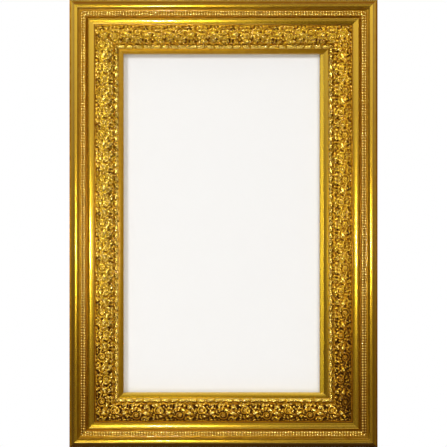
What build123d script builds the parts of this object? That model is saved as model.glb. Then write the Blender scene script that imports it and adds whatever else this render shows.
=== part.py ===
from build123d import *
import os

# Overall size over the outer edges, in millimetres. X runs right, Z runs up and the front faces -Y.
frame_width = 540.0
frame_height = 785.0

# Widths of the moulding's bands, in order from the outer edge to the sight edge.
edge_hollow_width = 8.8
astragal_width = 5.6
cove_width = 4.9
bead_seat_width = 9.5
bead_quirk_width = 3.0
torus_width = 11.2
torus_quirk_width = 2.2
frieze_width = 29.8
frieze_groove_width = 2.6
leaf_seat_width = 7.6
sight_quirk_width = 1.3
sight_band_width = 7.1
torus_crest_inset = 4.4

# Steps in height from the lip at the sight edge out to the outer side.
lip_thickness = 7.0
sight_band_rise = 3.6
sight_band_bow = 0.45
sight_quirk_depth = 1.5
leaf_seat_step = 1.5
frieze_groove_depth = 1.0
frieze_step = 2.4
frieze_fall = 4.5
torus_quirk_depth = 1.0
torus_step = 5.7
torus_fall = 1.8
torus_roll = 3.0
bead_seat_drop = 3.0
bead_quirk_depth = 2.0
cove_lip = 1.0
cove_rise = 10.4
astragal_rise = 0.6
edge_hollow_drop = 8.4

# Pressed strips that are laid on the moulding's seats.
strip_clearance = 0.2
bead_pitch = 4.66
bead_height = 4.5
bead_root = 2.2
bead_flat = 1.5
frieze_edge = 1.2
frieze_crown = 4.0
leaf_edge = 1.0
leaf_crown = 3.0

# Slip, glazing and boards in the rebate.
rebate_width = 10.0
slip_width = 10.0
slip_depth = 6.2
slip_bevel = 1.4
slip_shows_left = 0.3
slip_shows_right = 6.8
slip_shows_top = 0.3
slip_shows_bottom = 0.9
glazing_thickness = 2.0
mount_thickness = 1.5
backing_thickness = 4.0
button_gap = 0.3
pane_clearance = 1.5

# Turn buttons and their pivot screws.
button_thickness = 1.2
button_width = 10.0
button_tail = 5.0
button_reach = 24.0
button_corner = 3.0
button_inset = 8.0
button_end_inset = 176.5
button_lift = 0.2
head_play = 0.1
pivot_radius = 1.5
pivot_depth = 12.0
pivot_clearance = 0.05
pilot_clearance = 0.02
head_radius = 3.2
head_height = 1.9
head_taper = 22.0
head_sides = 12

# Strap hangers with their D-rings.
strap_thickness = 1.2
strap_width = 14.0
strap_length = 34.0
strap_hole_radius = 2.0
strap_hole_inset = 7.0
strap_hole_spacing = 14.0
hanger_drop = 262.0
hanger_inset = 66.0
ring_wire_radius = 1.3
ring_wire_sides = 8
ring_side_gap = 0.5
ring_bow_steps = 8
ring_leg = 5.0
ring_clearance = 0.08

# Wall bumpers.
bumper_radius = 6.0
wall_gap = 6.0
bumper_inset = 16.0

# Stations across the moulding, inwards from the outer edge.
astragal_start = edge_hollow_width
cove_start = astragal_start + astragal_width
bead_start = cove_start + cove_width
bead_end = bead_start + bead_seat_width
torus_start = bead_end + bead_quirk_width
torus_crest = torus_start + torus_crest_inset
torus_end = torus_start + torus_width
frieze_start = torus_end + torus_quirk_width
frieze_end = frieze_start + frieze_width
leaf_start = frieze_end + frieze_groove_width
leaf_end = leaf_start + leaf_seat_width
sight_start = leaf_end + sight_quirk_width
moulding_width = sight_start + sight_band_width
rebate_wall = moulding_width - rebate_width

# Heights above the moulding's flat back.
backing_front = button_gap + backing_thickness
mount_front = backing_front + mount_thickness
glazing_front = mount_front + glazing_thickness
rebate_depth = glazing_front + slip_depth
sight_edge_height = rebate_depth + lip_thickness
sight_band_height = sight_edge_height + sight_band_rise
sight_quirk_height = sight_band_height - sight_quirk_depth
leaf_seat_height = sight_quirk_height + leaf_seat_step
frieze_groove_height = leaf_seat_height - frieze_groove_depth
frieze_inner_height = leaf_seat_height + frieze_step
frieze_outer_height = frieze_inner_height + frieze_fall
torus_quirk_height = frieze_outer_height - torus_quirk_depth
torus_inner_height = frieze_outer_height + torus_step
torus_height = torus_inner_height + torus_fall
torus_outer_height = torus_height - torus_roll
bead_seat_height = torus_outer_height - bead_seat_drop
bead_quirk_height = bead_seat_height - bead_quirk_depth
cove_floor_height = bead_seat_height + cove_lip
astragal_foot_height = cove_floor_height + cove_rise
astragal_height = astragal_foot_height + astragal_rise
side_height = astragal_foot_height - edge_hollow_drop

# Openings that the moulding leaves, and the slip's own outer size and shift in them.
sight_width = frame_width - 2 * moulding_width
sight_height = frame_height - 2 * moulding_width
rebate_opening_width = frame_width - 2 * rebate_wall
rebate_opening_height = frame_height - 2 * rebate_wall
slip_outer_width = sight_width - slip_shows_left - slip_shows_right + 2 * slip_width
slip_outer_height = sight_height - slip_shows_top - slip_shows_bottom + 2 * slip_width
slip_shift_x = (slip_shows_left - slip_shows_right) / 2
slip_shift_z = (slip_shows_bottom - slip_shows_top) / 2
pane_width = rebate_opening_width - 2 * pane_clearance
pane_height = rebate_opening_height - 2 * pane_clearance

# Hardware places: each button turns about a screw beside the rebate.
button_station = rebate_wall - button_inset
button_spread = frame_height / 2 - button_end_inset
button_back = button_lift + button_thickness
head_seat = button_back + head_play
loop_hole_radius = ring_wire_radius + ring_clearance
loop_outer_radius = loop_hole_radius + strap_thickness
ring_half_width = strap_width / 2 + ring_side_gap + ring_wire_radius
hanger_height = frame_height / 2 - hanger_drop

# Each side of the frame: its turn about Y from the left stile, its length and its reach from the centre.
SIDES = {
    "left": (0, frame_height, frame_width / 2),
    "top": (90, frame_width, frame_height / 2),
    "right": (180, frame_height, frame_width / 2),
    "bottom": (270, frame_width, frame_height / 2),
}
RAIL_NAMES = {"left": "left_stile", "top": "top_rail", "right": "right_stile", "bottom": "bottom_rail"}
MIRRORED_SIDES = {"left": 1, "right": -1}


def spot(inward, height):
    """A point of a cross-section: distance in from the outer edge, height above the back."""
    return (inward, -height)


def outline(*points):
    """Straight edges through the points."""
    return [Line(spot(*a), spot(*b)) for a, b in zip(points, points[1:])]


def hump(foot, crest, end):
    """Two arcs that meet level at the crest."""
    rise = TangentArc(spot(*crest), spot(*foot), tangent=(-1, 0))
    fall = TangentArc(spot(*crest), spot(*end), tangent=(1, 0))
    return [rise, fall]


def crown(start, end, rise):
    """A shallow arc that rises above the straight line between two points."""
    middle = ((start[0] + end[0]) / 2, (start[1] + end[1]) / 2 + rise)
    return [ThreePointArc(spot(*start), spot(*middle), spot(*end))]


def mitred(length, section):
    """A length of moulding along Z, cut at 45 degrees at both ends from its outer edge."""
    bar = extrude(section, amount=length / 2, both=True)
    return mitre_ends(length, bar)


def mitre_ends(length, bar):
    """Cuts both ends of a bar at 45 degrees from its outer edge."""
    for way in (1, -1):
        plane = Plane(origin=(0, 0, way * length / 2), z_dir=(1, 0, way))
        bar = split(bar, bisect_by=plane, keep=Keep.BOTTOM)
    return bar


def placed(side, piece):
    """Moves a piece from the local frame of a side to its place on the frame."""
    turn, _, reach = SIDES[side]
    return Rot(0, turn, 0) * Pos(-reach, 0, 0) * piece


def rail_section():
    """The moulding's cross-section, with its seats for the strips and its rebate."""
    edges = outline((rebate_wall, 0), (0, 0), (0, side_height))
    edges.append(TangentArc(spot(0, side_height), spot(astragal_start, astragal_foot_height), tangent=(1, 0)))
    astragal_crest = (astragal_start + astragal_width / 2, astragal_height)
    edges += hump((astragal_start, astragal_foot_height), astragal_crest, (cove_start, astragal_foot_height))
    cove_foot = spot(bead_start, cove_floor_height)
    edges.append(TangentArc(cove_foot, spot(cove_start, astragal_foot_height), tangent=(-1, 0)))
    edges += outline(
        (bead_start, cove_floor_height),
        (bead_start, bead_seat_height),
        (bead_end, bead_seat_height),
        (bead_end, bead_quirk_height),
        (torus_start, bead_quirk_height),
        (torus_start, torus_outer_height),
    )
    edges += hump((torus_start, torus_outer_height), (torus_crest, torus_height), (torus_end, torus_inner_height))
    edges += outline(
        (torus_end, torus_inner_height),
        (torus_end, torus_quirk_height),
        (frieze_start, torus_quirk_height),
        (frieze_start, frieze_outer_height),
        (frieze_end, frieze_inner_height),
        (frieze_end, frieze_groove_height),
        (leaf_start, frieze_groove_height),
        (leaf_start, leaf_seat_height),
        (leaf_end, leaf_seat_height),
        (leaf_end, sight_quirk_height),
        (sight_start, sight_quirk_height),
        (sight_start, sight_band_height),
    )
    edges += crown((sight_start, sight_band_height), (moulding_width, sight_edge_height), sight_band_bow)
    edges += outline(
        (moulding_width, sight_edge_height),
        (moulding_width, rebate_depth),
        (rebate_wall, rebate_depth),
        (rebate_wall, 0),
    )
    return make_face(edges)


def frieze_section():
    """A cushion-fronted strip on the sloping frieze seat."""
    outer_top = (frieze_start, frieze_outer_height + frieze_edge)
    inner_top = (frieze_end, frieze_inner_height + frieze_edge)
    edges = outline(inner_top, (frieze_end, frieze_inner_height), (frieze_start, frieze_outer_height), outer_top)
    return make_face(edges + crown(outer_top, inner_top, frieze_crown))


def leaf_section():
    """The narrow leaf strip, round-fronted."""
    outer_top = (leaf_start, leaf_seat_height + leaf_edge)
    inner_top = (leaf_end, leaf_seat_height + leaf_edge)
    edges = outline(inner_top, (leaf_end, leaf_seat_height), (leaf_start, leaf_seat_height), outer_top)
    return make_face(edges + crown(outer_top, inner_top, leaf_crown))


def slip_section():
    """The gilt slip: a flat bar with a bevel round its sight edge."""
    return make_face(
        outline(
            (0, glazing_front),
            (0, rebate_depth),
            (slip_width - slip_bevel, rebate_depth),
            (slip_width, rebate_depth - slip_bevel),
            (slip_width, glazing_front),
            (0, glazing_front),
        )
    )


def bead_strip(length):
    """A strip of close beads, a whole number of them between the mitres."""
    start = bead_start + strip_clearance
    width = bead_seat_width - 2 * strip_clearance
    run = length - bead_start - bead_end
    count = max(1, round(run / bead_pitch))
    pitch = run / count
    root = -(bead_seat_height + bead_root)
    crest = -(bead_seat_height + bead_height)
    profile = [(-bead_seat_height, length / 2), (-bead_seat_height, -length / 2), (root, -length / 2)]
    for step in range(count):
        middle = (step + 0.5) * pitch - run / 2
        profile += [(root, middle - pitch / 2), (crest, middle - bead_flat / 2), (crest, middle + bead_flat / 2)]
    profile += [(root, run / 2), (root, length / 2)]
    comb = extrude(Plane.YZ * make_face(Polyline(*profile, close=True)), amount=width)
    return mitre_ends(length, Pos(start, 0, 0) * comb)


def slab(width, height, back, thickness):
    """A flat sheet in the rebate, centred on the frame."""
    return Pos(0, -back - thickness / 2, 0) * Box(width, thickness, height)


def upright(radius, base, top):
    """A round bar along Y from one depth behind the moulding's back to another."""
    bar = Cylinder(radius, top - base, align=(Align.CENTER, Align.CENTER, Align.MIN))
    return Pos(0, base, 0) * Rot(-90, 0, 0) * bar


def pivot_screw():
    """A wood screw that a turn button swings on, held down by its tapered head."""
    head = extrude(RegularPolygon(head_radius, head_sides), amount=head_height, taper=head_taper)
    return upright(pivot_radius, -pivot_depth, head_seat) + Pos(0, head_seat, 0) * Rot(-90, 0, 0) * head


def button_places():
    """Name, side and place along the side of each turn button."""
    places = []
    for side in ("left", "right"):
        places.append((side + "_upper", side, button_spread if side == "left" else -button_spread))
        places.append((side + "_lower", side, -button_spread if side == "left" else button_spread))
    return places + [("top", "top", 0), ("bottom", "bottom", 0)]


def at_button(place, piece):
    """Places a piece at a turn button's pivot."""
    _, side, along = place
    return placed(side, Pos(button_station, 0, along) * piece)


def turn_button():
    """A plate with clipped corners that reaches from its pivot over the backing board."""
    plate = Rectangle(button_tail + button_reach, button_width)
    plate = Pos((button_reach - button_tail) / 2, 0) * chamfer(plate.vertices(), button_corner)
    plate -= Circle(pivot_radius + pivot_clearance)
    return Pos(0, button_lift, 0) * Rot(-90, 0, 0) * extrude(plate, amount=button_thickness)


def strap_holes():
    """Distances of the strap's screw holes out from the ring's loop."""
    first = strap_length - strap_hole_inset
    return (first, first - strap_hole_spacing)


def hanger_strap():
    """A strap rolled into a loop at its inner end, in the left stile's local frame."""
    plate = Pos(-strap_length / 2, strap_thickness / 2, 0) * Box(strap_length, strap_thickness, strap_width)
    loop = Pos(0, loop_outer_radius, 0) * Cylinder(loop_outer_radius, strap_width)
    strap = plate + loop - Pos(0, loop_outer_radius, 0) * Cylinder(loop_hole_radius, strap_width)
    for distance in strap_holes():
        strap -= Pos(-distance, 0, 0) * upright(strap_hole_radius, 0, strap_thickness)
    return strap


def d_ring():
    """A closed wire ring: a bar in the loop, two legs and a bow, all with few flats."""
    bow = [ring_half_width * Vector(0, 1).rotate(Axis.Z, -180 * n / ring_bow_steps) for n in range(ring_bow_steps + 1)]
    corners = [(0, -ring_half_width), (0, ring_half_width)] + [Vector(ring_leg, 0) + point for point in bow]
    path = Polyline(*corners, close=True)
    section = Plane(path @ 0.02, z_dir=path % 0.02) * RegularPolygon(ring_wire_radius, ring_wire_sides)
    ring = sweep(section, path=path, transition=Transition.RIGHT)
    return Pos(0, loop_outer_radius, 0) * Rot(90, 0, 0) * ring


def at_hanger(side, piece):
    """Places a hanger piece on a stile, turned over for the right one."""
    way = MIRRORED_SIDES[side]
    turned = piece if way > 0 else Rot(0, 180, 0) * piece
    return Pos(way * (hanger_inset - frame_width / 2), 0, hanger_height) * turned


def bumpers():
    """Two round pads at the lower corners."""
    across = frame_width / 2 - bumper_inset
    down = bumper_inset - frame_height / 2
    return [Pos(x, 0, down) * upright(bumper_radius, 0, wall_gap) for x in (-across, across)]


def write(name, shape):
    """Exports a piece, or a group of like pieces, with the wall plane at Y = 0."""
    moved = Pos(0, -wall_gap, 0) * shape
    export_step(moved, "parts/" + name + ".step")


def group(pieces):
    """Like pieces as one group of separate solids."""
    return Compound(children=[piece.solid() for piece in pieces])


def main():
    os.makedirs("parts", exist_ok=True)
    places = button_places()
    screws = [at_button(place, pivot_screw()) for place in places]
    pilot = upright(pivot_radius + pilot_clearance, -pivot_depth, button_lift)
    pilots = [at_button(place, pilot) for place in places]

    for side, (_, length, _) in SIDES.items():
        rail = placed(side, mitred(length, rail_section()))
        write(RAIL_NAMES[side], rail - pilots)
        write("bead_strip_" + side, placed(side, bead_strip(length)))
        write("frieze_" + side, placed(side, mitred(length, frieze_section())))
        write("leaf_strip_" + side, placed(side, mitred(length, leaf_section())))
        slip_length = slip_outer_height if side in MIRRORED_SIDES else slip_outer_width
        slip_reach = (slip_outer_width if side in MIRRORED_SIDES else slip_outer_height) / 2
        slip = Pos(-slip_reach, 0, 0) * mitred(slip_length, slip_section())
        write("slip_" + side, Pos(slip_shift_x, 0, slip_shift_z) * Rot(0, SIDES[side][0], 0) * slip)

    write("glazing", slab(pane_width, pane_height, mount_front, glazing_thickness))
    write("mount_board", slab(pane_width, pane_height, backing_front, mount_thickness))
    write("backing_board", slab(pane_width, pane_height, button_gap, backing_thickness))

    for place in places:
        write("turn_button_" + place[0], at_button(place, turn_button()))
    write("turn_button_screws", group(screws))

    for side in MIRRORED_SIDES:
        write("hanger_strap_" + side, at_hanger(side, hanger_strap()))
        write("d_ring_" + side, at_hanger(side, d_ring()))
    write("wall_bumpers", group(bumpers()))


main()
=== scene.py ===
"""Looks of a tall gilded picture frame: mouldings, pressed ornament, glazing and the fittings on its back."""

import logging
import math
from collections.abc import Mapping, Sequence
from dataclasses import dataclass, field
from enum import Enum

import bmesh
import bpy
import numpy as np
from mathutils import Matrix, Vector


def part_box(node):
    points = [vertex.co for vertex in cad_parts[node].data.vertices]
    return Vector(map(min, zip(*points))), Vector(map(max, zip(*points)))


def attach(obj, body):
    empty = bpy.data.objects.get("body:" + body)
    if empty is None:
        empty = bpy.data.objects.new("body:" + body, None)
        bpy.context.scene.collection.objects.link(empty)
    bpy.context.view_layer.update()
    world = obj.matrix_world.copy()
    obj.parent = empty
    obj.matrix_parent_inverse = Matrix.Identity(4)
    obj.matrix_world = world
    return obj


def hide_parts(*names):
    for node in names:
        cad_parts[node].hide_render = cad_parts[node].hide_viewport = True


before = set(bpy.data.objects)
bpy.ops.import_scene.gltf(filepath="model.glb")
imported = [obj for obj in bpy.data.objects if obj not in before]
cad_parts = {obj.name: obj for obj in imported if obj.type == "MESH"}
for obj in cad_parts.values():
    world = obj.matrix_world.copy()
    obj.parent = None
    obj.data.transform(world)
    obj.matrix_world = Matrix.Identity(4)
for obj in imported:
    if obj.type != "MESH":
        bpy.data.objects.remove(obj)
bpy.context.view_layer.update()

LOG = logging.getLogger("gilded_frame")
ROOT_BODY = "frame"
MM = 0.001
# Name of the point attribute of tone and painted light: painted highlight below 0, toning with painted shade
# above it.
TONE_AND_SHADE = "toning"
UNROLLED = "unrolled"
TURN = "turn"
RANGE = ("From Min", "From Max", "To Min", "To Max")
# A colour mix's inputs go by number, since their names repeat.
SHARE, UNDER, OVER = 0, 6, 7

Spot = tuple[float, float]
Triple = tuple[float, float, float]
Rib = tuple[Spot, float]


class Side(Enum):
    """A side of the frame, with its turn about Y from the left stile in degrees."""

    LEFT = 0
    TOP = 90
    RIGHT = 180
    BOTTOM = 270

    @property
    def word(self) -> str:
        """The side's name as the nodes carry it."""
        return self.name.lower()

    @property
    def upright(self) -> bool:
        """True for the two stiles."""
        return self in (Side.LEFT, Side.RIGHT)

    @property
    def rail(self) -> str:
        """The node name of the side's length of moulding."""
        return f"{self.word}_{'stile' if self.upright else 'rail'}"


def linear(code: str) -> tuple[float, float, float, float]:
    """Turns an sRGB hex colour into linear values.

    Args:
        code: Six hex digits after a hash.

    Returns:
        Linear red, green and blue with an alpha of 1.
    """
    parts = [int(code[at : at + 2], 16) / 255 for at in (1, 3, 5)]
    values = [part / 12.92 if part <= 0.04045 else ((part + 0.055) / 1.055) ** 2.4 for part in parts]
    return (*values, 1.0)


def add(
    tree: bpy.types.NodeTree, kind: str, settings: Mapping | None = None, links: Mapping | None = None
) -> bpy.types.Node:
    """Adds a node to a tree with its settings and links.

    Args:
        tree: The tree that takes the node.
        kind: The node's Blender type.
        settings: Values by property name, socket name or socket number.
        links: A socket, or a node for its first output in use, by the name or number of the input it feeds.

    Returns:
        The new node.
    """
    node = tree.nodes.new(kind)
    for key, value in (settings or {}).items():
        if isinstance(key, str) and hasattr(node, key):
            setattr(node, key, value)
        else:
            node.inputs[key].default_value = value
    for key, giver in (links or {}).items():
        if isinstance(giver, bpy.types.Node):
            giver = next(socket for socket in giver.outputs if socket.enabled)
        tree.links.new(giver, node.inputs[key])
    return node


def per_mm(size: float) -> float:
    """The texture scale that gives a pattern features of a size in millimetres."""
    return 1 / (size * MM)


@dataclass(frozen=True)
class Finish:
    """A material made from nodes, named for what it is and how its surface was made."""

    name: str

    def material(self) -> bpy.types.Material:
        """Finds the finish's material, or makes it once.

        Returns:
            The material.
        """
        known = bpy.data.materials.get(self.name)
        if known:
            return known
        made = bpy.data.materials.new(self.name)
        made.use_nodes = True
        made.node_tree.nodes.clear()
        add(made.node_tree, "ShaderNodeOutputMaterial", links={"Surface": self.shade(made.node_tree)})
        return made

    def shade(self, tree: bpy.types.NodeTree) -> bpy.types.Node:
        """Builds the finish's shader; each finish has its own."""
        raise NotImplementedError


@dataclass(frozen=True)
class GoldLeaf(Finish):
    """Gold leaf over red bole, with a painted highlight on the tops and wash and grime in the hollows that
    are partly a toning and partly painted shade.

    A pattern is a size in millimetres with its noise's detail and roughness. Bump heights are in metres.
    """

    leaf: str = "#E5BE24"
    deep_leaf: str = "#DCAE1C"
    bole: str = "#A4661A"
    wash: str = "#9A6412"
    grime: str = "#40280A"
    # Pale leaf laid on the tops of the relief as a painted highlight.
    burnish: str = "#F6D86C"
    roughness: float = 0.24
    uneven: float = 0.05
    stretch: float = 0.0
    rub: float = 0.7
    rub_edge: float = 0.12
    rubbed_through: float = 0.75
    ripple: float = 0.00001
    tooth: float = 0.000012
    sheets: Triple = (55.0, 3.0, 0.5)
    grit: Triple = (2.4, 5.0, 0.7)
    blotches: Triple = (9.0, 4.0, 0.5)
    waves: Triple = (26.0, 2.0, 0.5)
    blotch_range: Spot = (0.3, 0.75)
    wash_range: Spot = (0.75, 1.15)
    wash_dulls: float = 0.16
    lacquer: float = 1.0
    lacquer_roughness: float = 0.1
    lacquer_ior: float = 1.52

    def shade(self, tree: bpy.types.NodeTree) -> bpy.types.Node:
        """Lays rubbed bole, the painted highlight, and wash and grime of toning and painted shade over the
        leaf, under a thin lacquer where no wash lies.

        Args:
            tree: The material's node tree.

        Returns:
            The shader node.
        """
        place = add(tree, "ShaderNodeTexCoord").outputs["Object"]
        sheet, grit, blotch, wave = (
            add(
                tree,
                "ShaderNodeTexNoise",
                {"Scale": per_mm(size), "Detail": detail, "Roughness": rough},
                {"Vector": place},
            )
            for size, detail, rough in (self.sheets, self.grit, self.blotches, self.waves)
        )
        toning = add(tree, "ShaderNodeAttribute", {"attribute_name": TONE_AND_SHADE}).outputs["Fac"]
        spans = (
            (grit, self.rub, self.rub + self.rub_edge, 0.0, self.rubbed_through),
            (toning, 0.0, -1.0, 0.0, 1.0),
            (blotch, *self.blotch_range, *self.wash_range),
            (toning, 1.0, 2.0, 0.0, 1.0),
            (blotch, 0.0, 1.0, self.roughness, self.roughness + self.uneven),
        )
        rubbed, highlight_share, patchy, darkened, sheen = (
            add(tree, "ShaderNodeMapRange", dict(zip(RANGE, span)), {"Value": source})
            for source, *span in spans
        )
        times = {"operation": "MULTIPLY", "use_clamp": True}
        wash_and_shade_share = add(tree, "ShaderNodeMath", times, {0: toning, 1: patchy})

        golds = {"data_type": "RGBA", UNDER: linear(self.leaf), OVER: linear(self.deep_leaf)}
        colour = add(tree, "ShaderNodeMix", golds, {SHARE: sheet})
        # Over the leaf: rubbed bole, the painted highlight, then wash and grime that are partly toning and
        # partly painted shade.
        coats = ((rubbed, self.bole), (highlight_share, self.burnish), (wash_and_shade_share, self.wash), (darkened, self.grime))
        for share, coat in coats:
            top = {"data_type": "RGBA", OVER: linear(coat)}
            colour = add(tree, "ShaderNodeMix", top, {SHARE: share, UNDER: colour})

        plus = {"operation": "MULTIPLY_ADD", 1: self.wash_dulls, "use_clamp": True}
        dulled = add(tree, "ShaderNodeMath", plus, {0: wash_and_shade_share, 2: sheen})
        normal = {}
        for distance, height in ((self.ripple, wave), (self.tooth, grit)):
            bump = {"Strength": 1.0, "Distance": distance}
            normal = {"Normal": add(tree, "ShaderNodeBump", bump, {"Height": height, **normal})}
        glaze = add(tree, "ShaderNodeMapRange", {"To Min": self.lacquer, "To Max": 0.0}, {"Value": wash_and_shade_share})
        lacquer = {"Coat Roughness": self.lacquer_roughness, "Coat IOR": self.lacquer_ior}
        shader = add(
            tree,
            "ShaderNodeBsdfPrincipled",
            {"Metallic": 1.0, "Anisotropic": self.stretch, **lacquer},
            {"Coat Weight": glaze, "Base Color": colour, "Roughness": dulled, **normal},
        )
        if self.stretch:
            across = add(tree, "ShaderNodeTangent", {"direction_type": "UV_MAP", "uv_map": UNROLLED})
            tree.links.new(across.outputs[0], shader.inputs["Tangent"])
        return shader


@dataclass(frozen=True)
class Grained(Finish):
    """Two colours in drawn-out streaks, as in planed timber, pressed board, paper or rolled plate.

    The grain is the streaks' size along X, Y and Z in millimetres. The relief is in metres.
    """

    light: str
    dark: str
    grain: Triple
    roughness: float = 0.65
    relief: float = 0.00006
    metallic: float = 0.0
    uneven: float = 0.12
    noise: Spot = (6.0, 0.6)
    contrast: Spot = (0.3, 0.7)

    def shade(self, tree: bpy.types.NodeTree) -> bpy.types.Node:
        """Streaks the two colours along the grain.

        Args:
            tree: The material's node tree.

        Returns:
            The shader node.
        """
        place = add(tree, "ShaderNodeTexCoord").outputs["Object"]
        scale = {"Scale": [per_mm(size) for size in self.grain]}
        drawn = add(tree, "ShaderNodeMapping", scale, {"Vector": place})
        noise = {"Scale": 1.0, "Detail": self.noise[0], "Roughness": self.noise[1]}
        streak = add(tree, "ShaderNodeTexNoise", noise, {"Vector": drawn})
        sharp = {"From Min": self.contrast[0], "From Max": self.contrast[1]}
        spread = add(tree, "ShaderNodeMapRange", sharp, {"Value": streak})
        colours = {"data_type": "RGBA", UNDER: linear(self.light), OVER: linear(self.dark)}
        colour = add(tree, "ShaderNodeMix", colours, {SHARE: spread})
        rough = {"To Min": self.roughness, "To Max": self.roughness + self.uneven}
        dull = add(tree, "ShaderNodeMapRange", rough, {"Value": streak})
        bump = add(tree, "ShaderNodeBump", {"Strength": 1.0, "Distance": self.relief}, {"Height": streak})
        links = {"Base Color": colour, "Roughness": dull, "Normal": bump}
        return add(tree, "ShaderNodeBsdfPrincipled", {"Metallic": self.metallic}, links)


@dataclass(frozen=True)
class CoatedGlass(Finish):
    """Float glass with an anti-reflection coating: clear, with no mirror image."""

    tint: str = "#FBFDFC"
    veil: float = 0.05

    def shade(self, tree: bpy.types.NodeTree) -> bpy.types.Node:
        """Makes glass that all but vanishes over the white board."""
        clear = {"Base Color": linear(self.tint), "Alpha": self.veil, "IOR": 1.5, "Specular IOR Level": 0.0}
        return add(tree, "ShaderNodeBsdfPrincipled", clear)


# Leaf burnished along the smooth members: its fine scratches draw each highlight out across the profile.
BURNISHED_LEAF = GoldLeaf("burnished_gold_leaf", roughness=0.21, stretch=0.85, rub=0.76, tooth=0.000003)
# Leaf on pressed composition: many small glints over a ground browned by toning and painted shade.
ORNAMENT_LEAF = GoldLeaf("toned_gold_leaf_on_composition", roughness=0.22)
# Leaf on the pearls: burnished, and painted paler than the other leaf as painted light, for the light that
# the rounded pearls catch.
PEARL_LEAF = GoldLeaf(
    "burnished_gold_leaf_on_pearls", leaf="#F8DE70", deep_leaf="#F2D464", roughness=0.2, rub=0.78
)
# Leaf on the slip is newer and cleaner, so it flashes white.
SLIP_LEAF = GoldLeaf("bright_gold_leaf_on_slip", leaf="#EAC830", deep_leaf="#E2BA28", roughness=0.2, rub=0.78)
# Planed pine on the back: pale, straight-grained and dull; one finish for stiles and one for rails.
STILE_PINE = Grained("planed_pine_stile", "#CDA871", "#A87B47", (2.2, 2.2, 120.0))
RAIL_PINE = Grained("planed_pine_rail", "#CDA871", "#A87B47", (120.0, 2.2, 2.2))
# Pressed hardboard: even brown with a felted fleck.
HARDBOARD = Grained(
    "pressed_hardboard", "#7A5637", "#5A3B22", (1.6, 1.6, 1.6), roughness=0.55, relief=0.00004
)
# Mount board: matt white paper face with a soft tooth.
MOUNT_PAPER = Grained(
    "matt_white_mount_board", "#FCFCFB", "#F8F8F7", (1.2, 1.2, 1.2), roughness=0.85, relief=0.00001
)
# Stamped brass plate: warm, satin, faintly streaked by rolling.
SATIN_BRASS = Grained(
    "stamped_satin_brass",
    "#CFA659",
    "#B98E46",
    (0.8, 0.8, 18.0),
    roughness=0.3,
    relief=0.000006,
    metallic=1.0,
)
# Zinc plate on steel: cool grey and slightly cloudy.
ZINC_STEEL = Grained(
    "zinc_plated_steel",
    "#C4C6C6",
    "#A4A7A9",
    (3.0, 3.0, 3.0),
    roughness=0.28,
    relief=0.000006,
    metallic=1.0,
)
# Moulded rubber: near black and dull.
RUBBER = Grained(
    "moulded_black_rubber", "#1C1C1C", "#131313", (0.9, 0.9, 0.9), roughness=0.7, relief=0.00002
)
# Painted floor: pale, even and dull.
FLOOR_PAINT = Grained("pale_painted_floor", "#E9E8E4", "#E4E3DF", (40.0, 40.0, 40.0), roughness=0.8)
# Float glass with the coating used over pictures: clear, and it mirrors neither lamps nor room.
CLEAR_GLASS = CoatedGlass("coated_float_glass")


def arc(middle: Spot, radii: Spot, start: float, sweep: float, steps: int) -> list[Spot]:
    """Points along part of a circle or an ellipse.

    Args:
        middle: Its centre.
        radii: Its half sizes along the first and the second axis.
        start: Angle of the first point, in degrees.
        sweep: Angle from the first point to the last.
        steps: Number of chords.

    Returns:
        One point more than there are chords.
    """
    angles = [math.radians(start + sweep * step / steps) for step in range(steps + 1)]
    return [(middle[0] + radii[0] * math.cos(a), middle[1] + radii[1] * math.sin(a)) for a in angles]


def level_arc(level: Spot, other: Spot, steps: int = 10) -> list[Spot]:
    """An arc that starts level at one point and ends at another.

    Args:
        level: The end at which the arc runs level.
        other: The other end.
        steps: Number of chords.

    Returns:
        Points from the level end to the other.
    """
    across, rise = other[0] - level[0], other[1] - level[1]
    radius = (across**2 + rise**2) / (2 * abs(rise))
    sweep = math.degrees(math.atan2(abs(across), radius - abs(rise)))
    radii = (math.copysign(radius, across), math.copysign(radius, rise))
    return arc((level[0], level[1] + radii[1]), radii, -90, sweep, steps)


def bowed(start: Spot, end: Spot, bow: float, steps: int = 8) -> list[Spot]:
    """A face between two points that bows outwards in the middle, drawn as a parabola.

    Args:
        start: The first point.
        end: The last point.
        bow: Rise of the middle above the straight line.
        steps: Number of chords.

    Returns:
        Points from the first to the last.
    """
    shares = np.linspace(0, 1, steps + 1)
    rise = end[1] - start[1]
    return [(start[0] + (end[0] - start[0]) * s, start[1] + rise * s + 4 * bow * s * (1 - s)) for s in shares]


def hump(foot: Spot, crest: Spot, end: Spot) -> list[Spot]:
    """A rounded member: two arcs that meet level at the crest."""
    return level_arc(crest, foot)[::-1] + level_arc(crest, end)[1:]


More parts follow.
